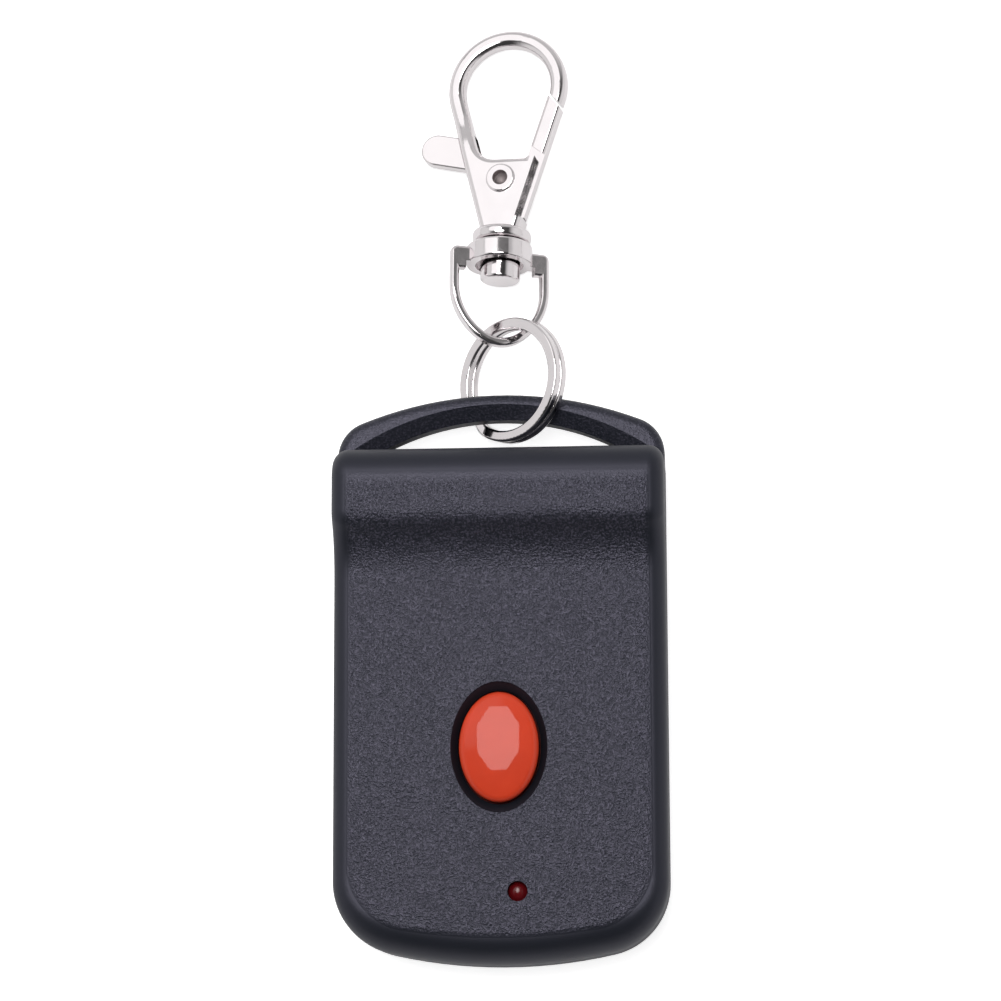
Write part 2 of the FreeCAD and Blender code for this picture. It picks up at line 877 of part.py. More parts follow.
def make_switch_dome():
    # a shallow snap disc of even thickness, resting on its rim
    outer_radius = (switch_dome_radius ** 2 + switch_dome_rise ** 2) / (2 * switch_dome_rise)
    low = switch_dome_low()
    centre = Vector(0, button_y, low + switch_dome_rise - outer_radius)
    outer = Part.makeSphere(outer_radius, centre)
    inner = Part.makeSphere(outer_radius, centre - Vector(0, 0, switch_dome_thickness))
    return single(outer.cut(inner).common(tube(0, button_y, low, low + 1, switch_dome_radius)))


def make_switch_plunger():
    low = switch_dome_low() + switch_dome_rise + plunger_dome_gap
    foot_top = board_top + switch_base_height - plunger_foot_gap
    foot = tube(0, button_y, foot_top - plunger_foot_height, foot_top,
                switch_well_radius - plunger_foot_clearance)
    stem = tube(0, button_y, low, switch_plunger_top(), switch_plunger_radius)
    return fuse_all([foot, stem])


def code_lever_x(index):
    return (index - (code_levers - 1) / 2) * code_pitch


def make_code_housing():
    half_x = (code_levers - 1) * code_pitch / 2 + code_slot_width / 2 + code_margin
    low = board_bottom - code_height
    body = box(-half_x, half_x, code_y - code_width / 2, code_y + code_width / 2, low, board_bottom)
    slots = []
    for index in range(code_levers):
        x = code_lever_x(index)
        slots.append(box(x - code_slot_width / 2, x + code_slot_width / 2,
                         code_y - code_slot_length / 2, code_y + code_slot_length / 2,
                         low - 1, low + code_slot_depth))
    return single(cut_all(body, slots))


def make_code_lever(index):
    # a block with one step, so that a finger nail finds its narrow top
    x = code_lever_x(index)
    low = board_bottom - code_height
    start_y = code_y - code_slot_length / 2 + code_lever_gap
    foot = box(x - code_lever_width / 2, x + code_lever_width / 2, start_y, start_y + code_lever_length,
               low + code_slot_depth / 2, low + code_slot_depth - code_lever_gap)
    nib_start = start_y + code_lever_length / 4
    nib = box(x - code_lever_width / 2, x + code_lever_width / 2, nib_start,
              nib_start + code_lever_length / 2, low - code_lever_proud, low + code_slot_depth / 2)
    return single(fuse_all([foot, nib]))


def make_code_leads():
    leads = []
    for index in range(code_levers):
        x = code_lever_x(index)
        half = code_lead_width / 2
        for side in (-1, 1):
            face_y = code_y + side * code_width / 2
            y_low, y_high = sorted((face_y, face_y + side * code_lead_thickness))
            rise = box(x - half, x + half, y_low, y_high, board_bottom - code_lead_rise, board_bottom)
            y_low, y_high = sorted((face_y, face_y + side * code_lead_reach))
            foot = box(x - half, x + half, y_low, y_high, board_bottom - code_lead_thickness, board_bottom)
            leads.append(single(fuse_all([rise, foot])))
    return Part.makeCompound(leads)


def make_chip():
    low = board_top + chip_lift
    body = box(chip_x - chip_width / 2, chip_x + chip_width / 2,
               chip_y - chip_length / 2, chip_y + chip_length / 2, low, low + chip_height)
    dot = tube(chip_x - chip_width / 2 + chip_dot_inset, chip_y + chip_length / 2 - chip_dot_inset,
               low + chip_height - chip_dot_depth, low + chip_height + 1, chip_dot_radius)
    return single(body.cut(dot))


def make_chip_leads():
    leads = []
    half = chip_lead_width / 2
    for index in range(chip_leads):
        y = chip_y + (index - (chip_leads - 1) / 2) * chip_lead_pitch
        for side in (-1, 1):
            face_x = chip_x + side * chip_width / 2
            x_low, x_high = sorted((face_x, face_x + side * chip_lead_thickness * 2))
            shank = box(x_low, x_high, y - half, y + half, board_top, board_top + chip_height / 2)
            x_low, x_high = sorted((face_x, face_x + side * chip_lead_reach))
            foot = box(x_low, x_high, y - half, y + half, board_top, board_top + chip_lead_thickness)
            leads.append(single(fuse_all([shank, foot])))
    return Part.makeCompound(leads)


def make_can():
    half_x = can_length / 2
    half_y = can_width / 2
    brim = box(can_x - half_x, can_x + half_x, can_y - half_y, can_y + half_y,
               board_top, board_top + can_brim_height)
    cap = box(can_x - half_x + can_brim, can_x + half_x - can_brim,
              can_y - half_y + can_brim, can_y + half_y - can_brim, board_top, board_top + can_height)
    brim = rounded(brim, can_rounding + can_brim, upright_edge)
    cap = rounded(cap, can_rounding, upright_edge)
    return single(fuse_all([brim, cap]))


def make_coil():
    # a short air-wound coil lying along X on the board
    height = coil_pitch * coil_turns
    helix = Part.makeHelix(coil_pitch, height, coil_radius)
    circle = Part.Wire([Part.makeCircle(coil_wire / 2, Vector(coil_radius, 0, 0), ALONG_Y)])
    coil = Part.Wire(helix.Edges).makePipeShell([circle], True, True)
    coil.rotate(Vector(0, 0, 0), ALONG_Y, 90)
    coil.translate(Vector(coil_x - height / 2, coil_y, board_top + coil_lift + coil_radius + coil_wire / 2))
    return single(coil)


def make_transistor():
    half_x = transistor_length / 2
    half_y = transistor_width / 2
    body = box(transistor_x - half_x, transistor_x + half_x, transistor_y - half_y,
               transistor_y + half_y, board_top + transistor_lift, board_top + transistor_height)
    legs = [(0, 1), (-transistor_leg_pitch, -1), (transistor_leg_pitch, -1)]
    half_leg = transistor_leg_width / 2
    pieces = [body]
    for offset, side in legs:
        x = transistor_x + offset
        y_low, y_high = sorted((transistor_y, transistor_y + side * (half_y + transistor_leg_reach)))
        pieces.append(box(x - half_leg, x + half_leg, y_low, y_high,
                          board_top, board_top + transistor_leg_thickness))
    return single(fuse_all(pieces))


def part_spots():
    spots = part_places + [(side * (half_width - edge_part_inset), y) for side, y in edge_part_places]
    return spots + [(end_part_x, board_end_y - end_part_inset)]


def make_chip_parts():
    parts = []
    for x, y in part_spots():
        parts.append(box(x - part_length / 2, x + part_length / 2, y - part_width / 2,
                         y + part_width / 2, board_top, board_top + part_height))
    return Part.makeCompound(parts)


# Split ring


def wire_section(radius, z):
    # a flat-sided wire with rounded edges, seen in the plane through the ring's axis
    low = radius - (ring_outer_radius - ring_inner_radius) / 2
    high = radius + (ring_outer_radius - ring_inner_radius) / 2
    half = ring_turn_height / 2
    r = ring_wire_rounding
    d = r * (1 - math.sqrt(0.5))

    def at(x, dz):
        return Vector(x, 0, z + dz)

    edges = []
    corners = [(high, half, -1, -1), (low, half, 1, -1), (low, -half, 1, 1), (high, -half, -1, 1)]
    points = []
    for x, dz, inward_x, inward_z in corners:
        first = at(x, dz + inward_z * r)
        middle = at(x + inward_x * d, dz + inward_z * d)
        second = at(x + inward_x * r, dz)
        if inward_x * inward_z < 0:
            first, second = second, first
        points.append((first, middle, second))
    for number, (first, middle, second) in enumerate(points):
        edges.append(arc_edge(first, middle, second))
        following = points[(number + 1) % len(points)][0]
        edges.append(Part.makeLine(second, following))
    return Part.Wire(edges)


def make_split_ring():
    # two flat turns joined by one short slope, like wire wound twice on a mandrel
    radius = (ring_outer_radius + ring_inner_radius) / 2
    pitch = ring_turn_height + ring_turn_gap
    half_span = ring_crossing_span / 2
    lower = Part.Face(wire_section(radius, -pitch / 2))
    upper = Part.Face(wire_section(radius, pitch / 2))
    turn = 360 - ring_crossing_span - ring_end_gap
    lower.rotate(Vector(0, 0, 0), ALONG_Z, ring_crossing_angle + half_span + ring_end_gap)
    lower_turn = lower.revolve(Vector(0, 0, 0), ALONG_Z, turn)
    upper.rotate(Vector(0, 0, 0), ALONG_Z, ring_crossing_angle + half_span)
    upper_turn = upper.revolve(Vector(0, 0, 0), ALONG_Z, turn)
    steps = 6
    sections = []
    for step in range(steps + 1):
        share = step / steps
        ease = (1 - math.cos(math.pi * share)) / 2
        wire = wire_section(radius, -pitch / 2 + pitch * ease)
        angle = ring_crossing_angle - half_span + share * ring_crossing_span
        wire.rotate(Vector(0, 0, 0), ALONG_Z, angle)
        sections.append(wire)
    crossing = Part.makeLoft(sections, True, False)
    ring = fuse_all([lower_turn, crossing, upper_turn])
    ring.rotate(Vector(0, 0, 0), ALONG_Y, -ring_slant)
    ring.translate(Vector(ring_x, ring_y, ring_z))
    return single(ring)


# Swivel loop


def arch_edges(inset, top_v, z):
    # legs, side arcs and a rounder bottom that meet without a corner
    side_radius = loop_side_radius - inset
    bottom_radius = loop_bottom_radius - inset
    side_u = loop_half_width - loop_side_radius
    bottom_v = -loop_drop + loop_bottom_radius
    side_v = bottom_v + math.sqrt((loop_side_radius - loop_bottom_radius) ** 2 - side_u ** 2)
    turn = math.atan2(bottom_v - side_v, -side_u)
    half = loop_half_width - inset
    right_side = circle_arc((side_u, side_v), side_radius, turn, 0, z)
    left_side = circle_arc((-side_u, side_v), side_radius, math.pi, math.pi - turn, z)
    bottom = circle_arc((0, bottom_v), bottom_radius, -math.pi - turn, turn, z)
    left_top = Vector(-half, top_v, z)
    right_top = Vector(half, top_v, z)
    return [Part.makeLine(left_top, Vector(-half, side_v, z)), left_side, bottom, right_side,
            Part.makeLine(Vector(half, side_v, z), right_top), Part.makeLine(right_top, left_top)]


def make_swivel_loop():
    half_thickness = loop_thickness / 2
    half_hub = hub_height / 2
    strap = prism(arch_edges(0, loop_shoulder_top, -half_thickness), loop_thickness)
    window = prism(arch_edges(loop_strap, -loop_shoulder_bottom, -half_thickness - 1),
                   loop_thickness + 2)
    gap = loop_half_width - loop_strap - loop_shoulder_width
    window = window.fuse(box(-gap, gap, -loop_shoulder_bottom - 1, -half_hub,
                             -half_thickness - 1, half_thickness + 1))
    strap = single(strap.cut(window.removeSplitter()))

    def top_corner(edge):
        place = edge.CenterOfMass
        off_corner = abs(abs(place.x) - loop_half_width) + abs(place.y - loop_shoulder_top)
        return upright_edge(edge) and off_corner < 0.01

    strap = rounded(strap, loop_corner_rounding, top_corner)

    def flat_edge(edge):
        on_face = level_edge(edge, half_thickness) or level_edge(edge, -half_thickness)
        inner_top = abs(edge.CenterOfMass.x) < gap + 0.01 and edge.CenterOfMass.y > -loop_shoulder_bottom
        return on_face and not inner_top

    strap = rounded(strap, loop_rounding, flat_edge)
    hub = round_bar(hub_radius, Vector(0, -half_hub, 0), Vector(0, half_hub, 0))
    hub = hub.makeFillet(hub_rounding, [e for e in hub.Edges if e.BoundBox.YLength < 0.01])
    loop = fuse_all([strap, hub])
    bore = round_bar(stem_radius + hub_hole_clearance, Vector(0, -hub_height, 0), Vector(0, hub_height, 0))
    pocket = round_bar(head_radius + head_pocket_clearance, Vector(0, -hub_height, 0),
                       Vector(0, -half_hub + head_pocket_depth, 0))
    loop = cut_all(loop, [bore, pocket])
    return placed_loop(single(loop))


def placed_loop(shape):
    shape.rotate(Vector(0, 0, 0), ALONG_Y, loop_roll)
    shape.rotate(Vector(0, 0, 0), ALONG_X, -loop_tilt)
    shape.translate(Vector(hub_x, hub_y, hub_z))
    return shape


# Snap hook


def placed_hook(shape):
    shape.rotate(Vector(0, 0, 0), ALONG_Y, -hook_roll)
    shape.rotate(Vector(0, 0, 0), ALONG_X, -hook_tilt)
    shape.rotate(Vector(0, 0, 0), ALONG_Z, -hook_lean)
    shape.translate(Vector(hook_x, hub_y, hub_z))
    return shape


def side_slope():
    # the angle between the hook's straight sides and its axis
    rise = bow_centre - collar_top
    distance = math.hypot(hook_base_half, rise)
    return math.asin(bow_radius / distance) - math.atan2(hook_base_half, rise)


def side_u(v, inset):
    slope = side_slope()
    return hook_base_half + (v - collar_top) * math.tan(slope) - inset / math.cos(slope)


def hook_blank():
    slope = side_slope()
    z = -body_thickness
    left_base = Vector(-hook_base_half, collar_top, z)
    right_base = Vector(hook_base_half, collar_top, z)
    bow = circle_arc((0, bow_centre), bow_radius, -slope, math.pi + slope, z)
    right_touch = on_circle((0, bow_centre), bow_radius, -slope, z)
    left_touch = on_circle((0, bow_centre), bow_radius, math.pi + slope, z)
    edges = [Part.makeLine(left_base, right_base), Part.makeLine(right_base, right_touch), bow,
             Part.makeLine(left_touch, left_base)]
    return prism(edges, 2 * body_thickness)


def hook_side_form():
    # seen from the side: a thick body that slims to the bow on an even double curve
    thick = body_thickness / 2
    thin = bow_thickness / 2
    run = body_taper_end - body_taper_start
    drop = thick - thin
    radius = (run ** 2 / 4 + drop ** 2 / 4) / drop
    angle = math.asin(run / 2 / radius)
    end_v = bow_centre + 2 * bow_radius

    def curve(sign):
        first = []
        for a in (0, angle / 2, angle):
            first.append(Vector(0, body_taper_start + radius * math.sin(a),
                                sign * (thick - radius * (1 - math.cos(a)))))
        second = []
        for a in (angle, angle / 2, 0):
            second.append(Vector(0, body_taper_end - radius * math.sin(a),
                                 sign * (thin + radius * (1 - math.cos(a)))))
        return first, second

    upper_first, upper_second = curve(1)
    lower_first, lower_second = curve(-1)
    start_high = Vector(0, 0, thick)
    start_low = Vector(0, 0, -thick)
    end_high = Vector(0, end_v, thin)
    end_low = Vector(0, end_v, -thin)
    edges = [Part.makeLine(start_high, upper_first[0]), arc_edge(*upper_first), arc_edge(*upper_second),
             Part.makeLine(upper_second[2], end_high), Part.makeLine(end_high, end_low),
             Part.makeLine(end_low, lower_second[2]), arc_edge(*reversed(lower_second)),
             arc_edge(*reversed(lower_first)), Part.makeLine(lower_first[0], start_low),
             Part.makeLine(start_low, start_high)]
    solid = Part.Face(Part.Wire(edges)).extrude(Vector(4 * bow_radius, 0, 0))
    solid.translate(Vector(-2 * bow_radius, 0, 0))
    return solid


def opening_tool():
    # the opening of the hook: a round top and straight sides down to a rounded floor
    slope = side_slope()
    z = -body_thickness
    half = side_u(opening_bottom, bow_section)
    inner = bow_radius - bow_section
    top = circle_arc((0, bow_centre), inner, -slope, math.pi + slope, z)
    left_touch = on_circle((0, bow_centre), inner, math.pi + slope, z)
    right_touch = on_circle((0, bow_centre), inner, -slope, z)
    left_base = Vector(-half, opening_bottom, z)
    right_base = Vector(half, opening_bottom, z)
    edges = [Part.makeLine(left_base, right_base), Part.makeLine(right_base, right_touch), top,
             Part.makeLine(left_touch, left_base)]
    solid = prism(edges, 2 * body_thickness)

    def left_corner(edge):
        place = edge.CenterOfMass
        return upright_edge(edge) and abs(place.x + half) + abs(place.y - opening_bottom) < 0.01

    return rounded(solid, opening_corner_radius, left_corner)


def nose_line(shift):
    # two points of the slanted cut at the nose, moved towards the gate by shift
    inner = Vector(side_u(nose_inner_height, bow_section + nose_overlap), nose_inner_height, 0)
    outer = Vector(side_u(nose_outer_height, 0) + nose_overlap, nose_outer_height, 0)
    along = (outer - inner).normalize()
    across = Vector(along.y, -along.x, 0)
    return [inner - along * nose_reach + across * shift, outer + along * nose_reach + across * shift]


def gate_room():
    # what is cut from the right arm between the nose and the body
    first, second = nose_line(0)
    beyond = side_u(bow_centre, 0) + tool_margin
    inside = side_u(opening_bottom, bow_section) - gate_room_depth
    points = [(inside, opening_bottom), (beyond, opening_bottom),
              (beyond, second.y), (second.x, second.y), (first.x, first.y)]
    return polygon_prism(points, -body_thickness, body_thickness)


def tab_point(along, across):
    # a point on the thumb tab, from the centre of its round end towards the rivet
    angle = math.radians(tab_slope)
    u = tab_end_u + along * math.cos(angle) + across * math.sin(angle)
    v = tab_end_v - along * math.sin(angle) + across * math.cos(angle)
    return u, v


def turned(point, degrees):
    # a point turned about the rivet
    angle = math.radians(degrees)
    u = point[0]
    v = point[1] - rivet_height
    return (u * math.cos(angle) - v * math.sin(angle),
            rivet_height + u * math.sin(angle) + v * math.cos(angle))


def cavity_tool():
    # the room between the two plates that the lever turns in, open at its left, its right and its top
    edge_left = -side_u(cavity_floor, cavity_wall)
    far_right = bow_radius + tool_margin
    roof = opening_bottom + cavity_roof_overlap
    tab_edge = tab_radius + cavity_clearance
    low_tip = turned(tab_point(0, -tab_edge), gate_opening)
    low_root = turned(tab_point(tab_root_low, -tab_edge), gate_opening)
    high_tip = tab_point(-tab_room, tab_edge)
    high_root = tab_point(tab_root_high, tab_edge)
    points = [(edge_left, cavity_floor), (far_right, cavity_floor), (far_right, roof),
              (-side_u(opening_bottom, bow_section) + cavity_roof_overlap, roof), high_root, high_tip,
              (high_tip[0], low_tip[1]), low_tip, low_root]
    return polygon_prism(points, -cavity_thickness / 2, cavity_thickness / 2)


def side_trim():
    # the plates stop short of the lever's edge on the right
    far_right = bow_radius + tool_margin
    points = [(side_u(cavity_floor, plate_inset), cavity_floor), (far_right, cavity_floor),
              (far_right, opening_bottom + 0.01),
              (side_u(opening_bottom, plate_inset), opening_bottom + 0.01)]
    return polygon_prism(points, -body_thickness, body_thickness)


def turned_profile(points):
    # a solid of revolution about the swivel axis from radius and height pairs
    corners = [Vector(r, v, 0) for r, v in points]
    return Part.Face(Part.makePolygon(corners + corners[:1])).revolve(Vector(0, 0, 0), ALONG_Y, 360)


def make_stem():
    stem_and_head = turned_profile([(0, -head_bottom), (head_radius, -head_bottom),
                                    (head_radius, -head_bottom + head_height),
                                    (stem_radius, -head_bottom + head_height),
                                    (stem_radius, collar_bottom), (0, collar_bottom)])

    def rim(edge):
        return edge.BoundBox.YMax < -head_bottom + 0.01 and edge.BoundBox.XLength > head_radius

    stem_and_head = rounded(stem_and_head, head_rounding, rim)
    collar = round_bar(collar_radius, Vector(0, collar_bottom, 0), Vector(0, collar_top, 0))
    collar = collar.makeFillet(collar_rounding, [e for e in collar.Edges if e.BoundBox.YLength < 0.01])
    return fuse_all([stem_and_head, collar])


def make_snap_hook():
    blank = single(hook_blank().common(hook_side_form()))
    blank = single(blank.cut(opening_tool()))

    def outline_edge(edge):
        faces = blank.ancestorsOfType(edge, Part.Face)
        walls = [f for f in faces if abs(middle_normal(f).z) < 0.01]
        faces_up = [f for f in faces if abs(middle_normal(f).z) > 0.5]
        return bool(walls and faces_up) and edge.CenterOfMass.y > collar_top + 0.01

    hook = rounded(blank, hook_rounding, outline_edge)
    bore = round_bar(rivet_radius + rivet_fit, Vector(0, rivet_height, -body_thickness),
                     Vector(0, rivet_height, body_thickness))
    hook = cut_all(hook, [gate_room(), side_trim(), cavity_tool(), bore])
    hook = fuse_all([hook, make_stem()])
    return placed_hook(single(hook))


def lever_outline():
    slope = side_slope()
    tip_first, tip_second = nose_line(gate_tip_gap)
    tip = (tip_second - tip_first).normalize()

    def on_tip(inset):
        # where the tip line crosses a line beside the right edge
        start = Vector(side_u(0, inset), 0, 0)
        along = Vector(math.sin(slope), math.cos(slope), 0)
        offset = tip_first - start
        share = (offset.x * tip.y - offset.y * tip.x) / (along.x * tip.y - along.y * tip.x)
        return start + along * share

    roof = opening_bottom - lever_roof_gap
    heel_v = cavity_floor + lever_heel_gap
    root_v = gate_root_height - gate_root_drop
    points = [(side_u(heel_v, 0), heel_v), (on_tip(0).x, on_tip(0).y),
              (on_tip(bow_section).x, on_tip(bow_section).y), (side_u(root_v, bow_section), root_v),
              (side_u(roof, bow_section) - gate_step, roof)]
    points += [(u, roof + rise) for u, rise in lever_shoulder]
    points.append(tab_point(tab_top_length, tab_radius))
    end_top = tab_point(0, tab_radius)
    end_tip = tab_point(-tab_radius, 0)
    end_low = tab_point(0, -tab_radius)
    back = [tab_point(tab_low_length, -tab_radius), (-lever_hub_radius, rivet_height)]
    back += [(u, rivet_height + rise) for u, rise in lever_belly]
    back.append((side_u(heel_v, lever_heel_width), heel_v))
    return points, end_top, end_tip, end_low, back


def make_gate_lever():
    points, end_top, end_tip, end_low, back = lever_outline()
    z = -lever_thickness / 2
    forward = [Vector(u, v, z) for u, v in points + [end_top]]
    backward = [Vector(u, v, z) for u, v in [end_low] + back]
    edges = [Part.makeLine(a, b) for a, b in zip(forward, forward[1:])]
    edges.append(arc_edge(forward[-1], Vector(end_tip[0], end_tip[1], z), backward[0]))
    edges += [Part.makeLine(a, b) for a, b in zip(backward, backward[1:])]
    edges.append(Part.makeLine(backward[-1], forward[0]))
    plate = prism(edges, lever_thickness)
    hub = round_bar(lever_hub_radius, Vector(0, rivet_height, z), Vector(0, rivet_height, -z))
    plate = fuse_all([plate, hub])

    def tab_edge(edge):
        on_face = level_edge(edge, z) or level_edge(edge, -z)
        return on_face and edge.CenterOfMass.x < tab_point(3.5, 0)[0]

    plate = rounded(single(plate), lever_edge_rounding, tab_edge)
    lever = fuse_all([plate, gate_bar()])
    bore = round_bar(rivet_radius + lever_pivot_clearance, Vector(0, rivet_height, -1),
                     Vector(0, rivet_height, 1))
    pocket = round_bar(spring_pocket_radius, Vector(0, rivet_height, z - 1),
                       Vector(0, rivet_height, z + spring_pocket_depth))
    return placed_hook(single(cut_all(lever, [bore, pocket, spring_groove()])))


def spring_groove():
    # lets the spring's long leg out of the pocket through the rim, at every opening of the gate
    centre = (0, rivet_height)
    first, last = [math.radians(a) for a in gate_spring_sweep]
    reach = lever_hub_radius + 0.5
    rim = [on_circle(centre, reach, a) for a in (first, (first + last) / 2, last)]
    low = -lever_thickness / 2
    return polygon_prism([centre] + [(p.x, p.y) for p in rim], low - 1, low + spring_pocket_depth)


def gate_bar():
    # the part of the gate that shows: as thick as the bow, with rounded edges
    points, _, _, _, _ = lever_outline()
    outer_tip, inner_tip = points[1], points[2]
    low_v = gate_root_height - gate_root_drop
    high_v = gate_root_height + gate_root_rise
    low_outer = (side_u(low_v, 0), low_v)
    low_inner = (side_u(high_v, bow_section), high_v)
    half = gate_thickness / 2
    bar = polygon_prism([low_outer, outer_tip, inner_tip, low_inner], -half, half)

    def long_edge(edge):
        on_face = level_edge(edge, half) or level_edge(edge, -half)
        tangent = edge.tangentAt(edge.FirstParameter)
        return on_face and abs(tangent.y) > abs(math.cos(side_slope())) - 0.01

    return rounded(bar, gate_rounding, long_edge)


def make_gate_rivet():
    half = body_thickness / 2
    top = half + rivet_flange_thickness
    tube_part = round_bar(rivet_radius, Vector(0, rivet_height, -top), Vector(0, rivet_height, top))
    flanges = []
    for sign in (-1, 1):
        start = Vector(0, rivet_height, sign * half)
        end = Vector(0, rivet_height, sign * top)
        flange = round_bar(rivet_flange_radius, start, end)
        flange = rounded(flange, rivet_flange_thickness * 0.8, lambda edge: level_edge(edge, sign * top))
        flanges.append(flange)
    rivet = fuse_all([tube_part] + flanges)
    bore = round_bar(rivet_bore, Vector(0, rivet_height, -top - 1), Vector(0, rivet_height, top + 1))
    rivet = single(rivet.cut(bore))
    return placed_hook(rivet)


def make_gate_spring():
    # turns round the rivet in the lever's pocket, with one long leg against the wall of the hook's body
    radius = gate_spring_radius
    low = -lever_thickness / 2 + gate_spring_wire
    height = gate_spring_pitch * gate_spring_turns
    helix = Part.makeHelix(gate_spring_pitch, height, radius)
    helix.rotate(Vector(0, 0, 0), ALONG_Z, gate_spring_start)
    helix.translate(Vector(0, rivet_height, low))
    angle = math.radians(gate_spring_start)
    start = on_circle((0, rivet_height), radius, angle, low)
    travel = Vector(-math.sin(angle), math.cos(angle), 0)
    foot = start - travel * gate_spring_leg
    edges = [Part.makeLine(foot, start)] + helix.Edges
    circle = Part.Wire([Part.makeCircle(gate_spring_wire / 2, foot, travel)])
    return placed_hook(single(Part.Wire(edges).makePipeShell([circle], True, True)))


def build():
    parts = {
        "front_shell": make_front_shell(),
        "back_shell": make_back_shell(),
        "case_screws": Part.makeCompound([make_screw(x, y) for x, y in screw_places()]),
        "button_cap": make_button_cap(),
        "circuit_board": make_board(),
        "antenna_trace": make_antenna(),
        "indicator_led": make_lamp(),
        "led_leads": make_lamp_leads(),
        "battery": make_battery(),
        "positive_contact": make_contact(1, contact_face_x),
        "negative_contact": make_contact(-1, -contact_face_x),
        "battery_spring": make_battery_spring(),
        "tact_switch_base": make_switch_base(),
        "tact_switch_cover": make_switch_cover(),
        "tact_switch_leads": make_switch_leads(),
        "tact_switch_dome": make_switch_dome(),
        "tact_switch_plunger": make_switch_plunger(),
        "dip_switch_housing": make_code_housing(),
        "dip_switch_leads": make_code_leads(),
        "encoder_chip": make_chip(),
        "encoder_leads": make_chip_leads(),
        "resonator_can": make_can(),
        "tuning_coil": make_coil(),
        "transistor": make_transistor(),
        "chip_components": make_chip_parts(),
        "split_ring": make_split_ring(),
        "swivel_loop": make_swivel_loop(),
        "snap_hook": make_snap_hook(),
        "gate_lever": make_gate_lever(),
        "gate_rivet": make_gate_rivet(),
        "gate_spring": make_gate_spring(),
    }
    for index in range(code_levers):
        parts["dip_lever_" + str(index + 1)] = make_code_lever(index)
    return parts


def main():
    os.makedirs("parts", exist_ok=True)
    for name, shape in build().items():
        shape.exportStep("parts/" + name + ".step")


main()
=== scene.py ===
import json
import math

import bpy
from mathutils import Euler, Matrix, Vector


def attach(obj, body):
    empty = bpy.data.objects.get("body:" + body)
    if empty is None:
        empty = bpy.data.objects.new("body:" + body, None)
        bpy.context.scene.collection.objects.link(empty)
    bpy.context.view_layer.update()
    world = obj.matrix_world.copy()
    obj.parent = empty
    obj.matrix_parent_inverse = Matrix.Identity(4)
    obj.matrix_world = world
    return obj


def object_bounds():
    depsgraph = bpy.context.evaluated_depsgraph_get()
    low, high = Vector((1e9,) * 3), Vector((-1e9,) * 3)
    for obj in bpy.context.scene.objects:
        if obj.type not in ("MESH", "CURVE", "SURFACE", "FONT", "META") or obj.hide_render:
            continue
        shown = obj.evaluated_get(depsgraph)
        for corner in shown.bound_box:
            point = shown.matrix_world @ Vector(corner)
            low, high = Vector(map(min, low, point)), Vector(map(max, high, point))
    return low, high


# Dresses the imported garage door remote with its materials, a pale floor, soft studio lights and a camera.
# Lengths are in metres. X is to the right, Y runs towards the handle and Z comes out of the front.

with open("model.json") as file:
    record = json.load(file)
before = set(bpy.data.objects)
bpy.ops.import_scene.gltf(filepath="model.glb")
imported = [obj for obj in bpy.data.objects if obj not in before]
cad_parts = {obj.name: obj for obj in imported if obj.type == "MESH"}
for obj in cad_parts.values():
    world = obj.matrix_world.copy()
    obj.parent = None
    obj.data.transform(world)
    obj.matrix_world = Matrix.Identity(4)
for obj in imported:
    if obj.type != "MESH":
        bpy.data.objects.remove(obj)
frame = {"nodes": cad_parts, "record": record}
cad_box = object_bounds()

# Camera, at the photograph's viewing angle
camera_place = (0.0282, -0.0460, 0.4031)
camera_turn = (10.09, 4.11, -0.20)
camera_near = 0.01
image_width = 1001
focal_pixels = 3372.6
sensor_width = 36.0

# Softbox over the button
key_direction = (-0.03, 0.078, 0.40)
key_distance = 0.42
key_half_width = 0.108
key_half_length = 0.17
key_corners = 8
key_strength = 7.0

# Levels of the room round the object, and where each one fades in
panel_direction = (-0.40, 0.45, 0.80)
panel_light = 1.3
panel_fade = (0.90, 0.95)
wall_light = 0.65
wall_fade = (0.30, 0.80)
horizon_light = 0.65
horizon_fade = (0.34, 0.10)
side_light = 0.85
side_fade = (0.42, 0.80)
room_light = 0.05
background_light = 1.3

# Floor
floor_size = 6.0
floor_gap = 0.0001
floor_color = (0.86, 0.86, 0.86)
floor_glow = 0.7
glossy_share = 0.15

# Where the front is textured
grain_half_width = 0.0176
grain_bottom_y = -0.0271
grain_top_y = 0.0264
grain_corner = 0.006
grain_bottom_radius = 0.07
grain_edge = 0.0003
grain_top_edge = 0.0008
handle_grain_y = 0.0306
handle_grain_edge = 0.0006
handle_grain_share = 0.5
dish_centre_y = -0.0052
dish_half_width = 0.0057
dish_half_length = 0.0077
dish_edge = (0.98, 1.0)
upward_fade = (0.3, 0.5)

# Black moulding
moulding_dark = (0.004, 0.006, 0.009)
moulding_light = (0.050, 0.047, 0.066)
moulding_specular = 0.52
moulding_specular_tint = (0.83, 0.80, 1.0)
smooth_roughness = 0.47
grain_roughness = 0.30
grain_size = 0.00024
grain_depth = 0.00016
speck_range = (0.47, 0.68)
moulding_cloud_size = 0.012
moulding_cloud_share = 0.05
fine_size = 0.0009
fine_height = 0.04

# Orange button, whose side loses its coat and is darkened with painted shade where it goes into the case
button_light = (0.63, 0.050, 0.016)
button_painted_shade = (0.10, 0.006, 0.003)
button_dull_and_shaded_below = 0.0104
button_clear_and_unshaded_above = 0.0116
button_roughness = 0.5
button_specular = 0.1
button_coat = 0.42
button_coat_roughness = 0.03
button_subsurface = 0.08
button_subsurface_radius = (0.001, 0.0003, 0.0001)
button_subsurface_scale = 0.5
button_cloud_size = 0.004
button_cloud_low = 0.9
button_ripple_size = 0.003
button_ripple_depth = 0.00001
button_crown_z = 0.0126

# Red lens
lens_dark = (0.11, 0.003, 0.005)
lens_light = (0.18, 0.005, 0.009)
lens_roughness = 0.2
lens_clearness = 0.25
lens_cloud_size = 0.0015

